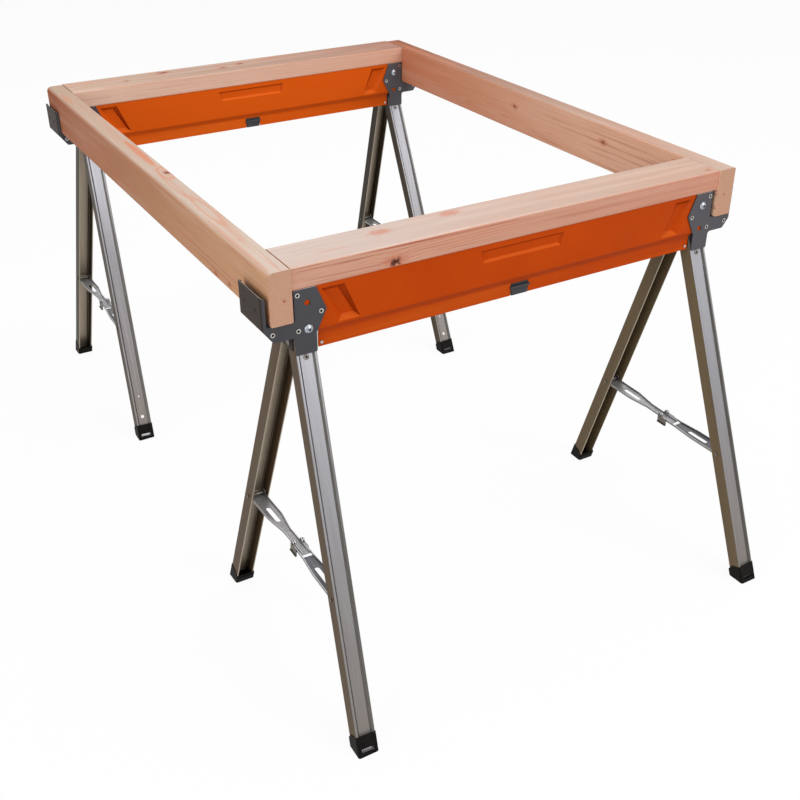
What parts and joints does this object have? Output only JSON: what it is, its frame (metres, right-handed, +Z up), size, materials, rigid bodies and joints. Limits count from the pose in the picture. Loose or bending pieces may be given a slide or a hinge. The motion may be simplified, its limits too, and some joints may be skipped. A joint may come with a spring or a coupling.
{
  "type": "pair of folding sawhorses",
  "caption": "Folding steel sawhorses with splayed channel legs and hinged braces, joined by flat boards and cross-members of lumber in their end brackets into one open work frame.",
  "frame": {"origin": "middle of the footprint, on the floor", "axes": "+X along the beams to the right end, +Y from the near horse to the far horse, +Z up"},
  "size_m": [0.97, 1.7116, 0.8],
  "materials": {
    "orange_paint": "satin powder coat",
    "charcoal_paint": "satin powder coat",
    "galvanised_steel": "galvanised, rolled",
    "brace_steel": "galvanised, stamped",
    "zinc_plate": "bright zinc plate",
    "black_plastic": "moulded, matt",
    "grey_plastic": "moulded, satin",
    "pine": "planed softwood"
  },
  "bodies": {
    "frame": {"far_board": "pine", "far_bracket_rivets": "zinc_plate", "far_dome_bolts": "zinc_plate", "far_front_panel": "orange_paint", "far_left_bracket": "charcoal_paint", "far_left_hanger": "charcoal_paint", "far_rear_panel": "orange_paint", "far_right_bracket": "charcoal_paint", "far_right_hanger": "charcoal_paint", "far_top_plate": "orange_paint", "left_cross_member": "pine", "near_board": "pine", "near_bracket_rivets": "zinc_plate", "near_dome_bolts": "zinc_plate", "near_front_panel": "orange_paint", "near_left_bracket": "charcoal_paint", "near_left_hanger": "charcoal_paint", "near_rear_panel": "orange_paint", "near_right_bracket": "charcoal_paint", "near_right_hanger": "charcoal_paint", "near_top_plate": "orange_paint", "right_cross_member": "pine"},
    "near_left_front_leg": {"near_left_front_leg": "galvanised_steel", "near_left_front_boot": "black_plastic", "near_left_front_leg_pins": "zinc_plate"},
    "near_left_front_link": {"near_left_front_brace_link": "brace_steel", "near_left_front_brace_catch": "brace_steel"},
    "near_left_rear_leg": {"near_left_rear_leg": "galvanised_steel", "near_left_rear_boot": "black_plastic", "near_left_rear_leg_pins": "zinc_plate"},
    "near_left_rear_link": {"near_left_rear_brace_link": "brace_steel"},
    "near_right_front_leg": {"near_right_front_leg": "galvanised_steel", "near_right_front_boot": "black_plastic", "near_right_front_leg_pins": "zinc_plate"},
    "near_right_front_link": {"near_right_front_brace_link": "brace_steel", "near_right_front_brace_catch": "brace_steel"},
    "near_right_rear_leg": {"near_right_rear_leg": "galvanised_steel", "near_right_rear_boot": "black_plastic", "near_right_rear_leg_pins": "zinc_plate"},
    "near_right_rear_link": {"near_right_rear_brace_link": "brace_steel"},
    "near_latch": {"near_latch": "grey_plastic"},
    "far_left_front_leg": {"far_left_front_leg": "galvanised_steel", "far_left_front_boot": "black_plastic", "far_left_front_leg_pins": "zinc_plate"},
    "far_left_front_link": {"far_left_front_brace_link": "brace_steel", "far_left_front_brace_catch": "brace_steel"},
    "far_left_rear_leg": {"far_left_rear_leg": "galvanised_steel", "far_left_rear_boot": "black_plastic", "far_left_rear_leg_pins": "zinc_plate"},
    "far_left_rear_link": {"far_left_rear_brace_link": "brace_steel"},
    "far_right_front_leg": {"far_right_front_leg": "galvanised_steel", "far_right_front_boot": "black_plastic", "far_right_front_leg_pins": "zinc_plate"},
    "far_right_front_link": {"far_right_front_brace_link": "brace_steel", "far_right_front_brace_catch": "brace_steel"},
    "far_right_rear_leg": {"far_right_rear_leg": "galvanised_steel", "far_right_rear_boot": "black_plastic", "far_right_rear_leg_pins": "zinc_plate"},
    "far_right_rear_link": {"far_right_rear_brace_link": "brace_steel"},
    "far_latch": {"far_latch": "grey_plastic"}
  },
  "joints": [
    {"name": "near_left_legs_close", "type": "hinge", "parent": "frame", "child": "near_left_front_leg", "pos_m": [-0.41214, -0.59538, 0.668], "axis": [1, 0, 0], "range_deg": [0, 20]},
    {"name": "near_left_front_brace_fold", "type": "hinge", "parent": "near_left_front_leg", "child": "near_left_front_link", "pos_m": [-0.43305, -0.74424, 0.259], "axis": [-0.9988, 0.0164, 0.0451], "range_deg": [0, 102.91]},
    {"name": "near_left_rear_leg_close", "type": "hinge", "parent": "frame", "child": "near_left_rear_leg", "pos_m": [-0.41214, -0.55262, 0.668], "axis": [-1, 0, 0], "range_deg": [0, 20]},
    {"name": "near_left_rear_brace_fold", "type": "hinge", "parent": "near_left_rear_leg", "child": "near_left_rear_link", "pos_m": [-0.43305, -0.40376, 0.259], "axis": [0.9988, 0.0164, -0.0451], "range_deg": [0, 102.91]},
    {"name": "near_right_legs_close", "type": "hinge", "parent": "frame", "child": "near_right_front_leg", "pos_m": [0.40614, -0.59538, 0.668], "axis": [1, 0, 0], "range_deg": [0, 20]},
    {"name": "near_right_front_brace_fold", "type": "hinge", "parent": "near_right_front_leg", "child": "near_right_front_link", "pos_m": [0.42705, -0.74424, 0.259], "axis": [-0.9988, -0.0164, -0.0451], "range_deg": [0, 102.91]},
    {"name": "near_right_rear_leg_close", "type": "hinge", "parent": "frame", "child": "near_right_rear_leg", "pos_m": [0.40614, -0.55262, 0.668], "axis": [-1, 0, 0], "range_deg": [0, 20]},
    {"name": "near_right_rear_brace_fold", "type": "hinge", "parent": "near_right_rear_leg", "child": "near_right_rear_link", "pos_m": [0.42705, -0.40376, 0.259], "axis": [0.9988, -0.0164, 0.0451], "range_deg": [0, 102.91]},
    {"name": "near_latch_push", "type": "slide", "parent": "frame", "child": "near_latch", "axis": [0, 0, 1], "range_m": [0, 0.0045]},
    {"name": "far_left_legs_close", "type": "hinge", "parent": "frame", "child": "far_left_front_leg", "pos_m": [-0.40614, 0.55262, 0.668], "axis": [1, 0, 0], "range_deg": [0, 20]},
    {"name": "far_left_front_brace_fold", "type": "hinge", "parent": "far_left_front_leg", "child": "far_left_front_link", "pos_m": [-0.42705, 0.40376, 0.259], "axis": [-0.9988, 0.0164, 0.0451], "range_deg": [0, 102.91]},
    {"name": "far_left_rear_leg_close", "type": "hinge", "parent": "frame", "child": "far_left_rear_leg", "pos_m": [-0.40614, 0.59538, 0.668], "axis": [-1, 0, 0], "range_deg": [0, 20]},
    {"name": "far_left_rear_brace_fold", "type": "hinge", "parent": "far_left_rear_leg", "child": "far_left_rear_link", "pos_m": [-0.42705, 0.74424, 0.259], "axis": [0.9988, 0.0164, -0.0451], "range_deg": [0, 102.91]},
    {"name": "far_right_legs_close", "type": "hinge", "parent": "frame", "child": "far_right_front_leg", "pos_m": [0.41214, 0.55262, 0.668], "axis": [1, 0, 0], "range_deg": [0, 20]},
    {"name": "far_right_front_brace_fold", "type": "hinge", "parent": "far_right_front_leg", "child": "far_right_front_link", "pos_m": [0.43305, 0.40376, 0.259], "axis": [-0.9988, -0.0164, -0.0451], "range_deg": [0, 102.91]},
    {"name": "far_right_rear_leg_close", "type": "hinge", "parent": "frame", "child": "far_right_rear_leg", "pos_m": [0.41214, 0.59538, 0.668], "axis": [-1, 0, 0], "range_deg": [0, 20]},
    {"name": "far_right_rear_brace_fold", "type": "hinge", "parent": "far_right_rear_leg", "child": "far_right_rear_link", "pos_m": [0.43305, 0.74424, 0.259], "axis": [0.9988, -0.0164, 0.0451], "range_deg": [0, 102.91]},
    {"name": "far_latch_push", "type": "slide", "parent": "frame", "child": "far_latch", "axis": [0, 0, 1], "range_m": [0, 0.0045]}
  ],
  "couplings": [
    {"joint": "near_left_front_brace_fold", "follows": "near_left_legs_close", "ratio": 5.1404},
    {"joint": "near_left_rear_leg_close", "follows": "near_left_legs_close", "ratio": 1},
    {"joint": "near_left_rear_brace_fold", "follows": "near_left_legs_close", "ratio": 5.1404},
    {"joint": "near_right_front_brace_fold", "follows": "near_right_legs_close", "ratio": 5.1404},
    {"joint": "near_right_rear_leg_close", "follows": "near_right_legs_close", "ratio": 1},
    {"joint": "near_right_rear_brace_fold", "follows": "near_right_legs_close", "ratio": 5.1404},
    {"joint": "far_left_front_brace_fold", "follows": "far_left_legs_close", "ratio": 5.1404},
    {"joint": "far_left_rear_leg_close", "follows": "far_left_legs_close", "ratio": 1},
    {"joint": "far_left_rear_brace_fold", "follows": "far_left_legs_close", "ratio": 5.1404},
    {"joint": "far_right_front_brace_fold", "follows": "far_right_legs_close", "ratio": 5.1404},
    {"joint": "far_right_rear_leg_close", "follows": "far_right_legs_close", "ratio": 1},
    {"joint": "far_right_rear_brace_fold", "follows": "far_right_legs_close", "ratio": 5.1404}
  ]
}
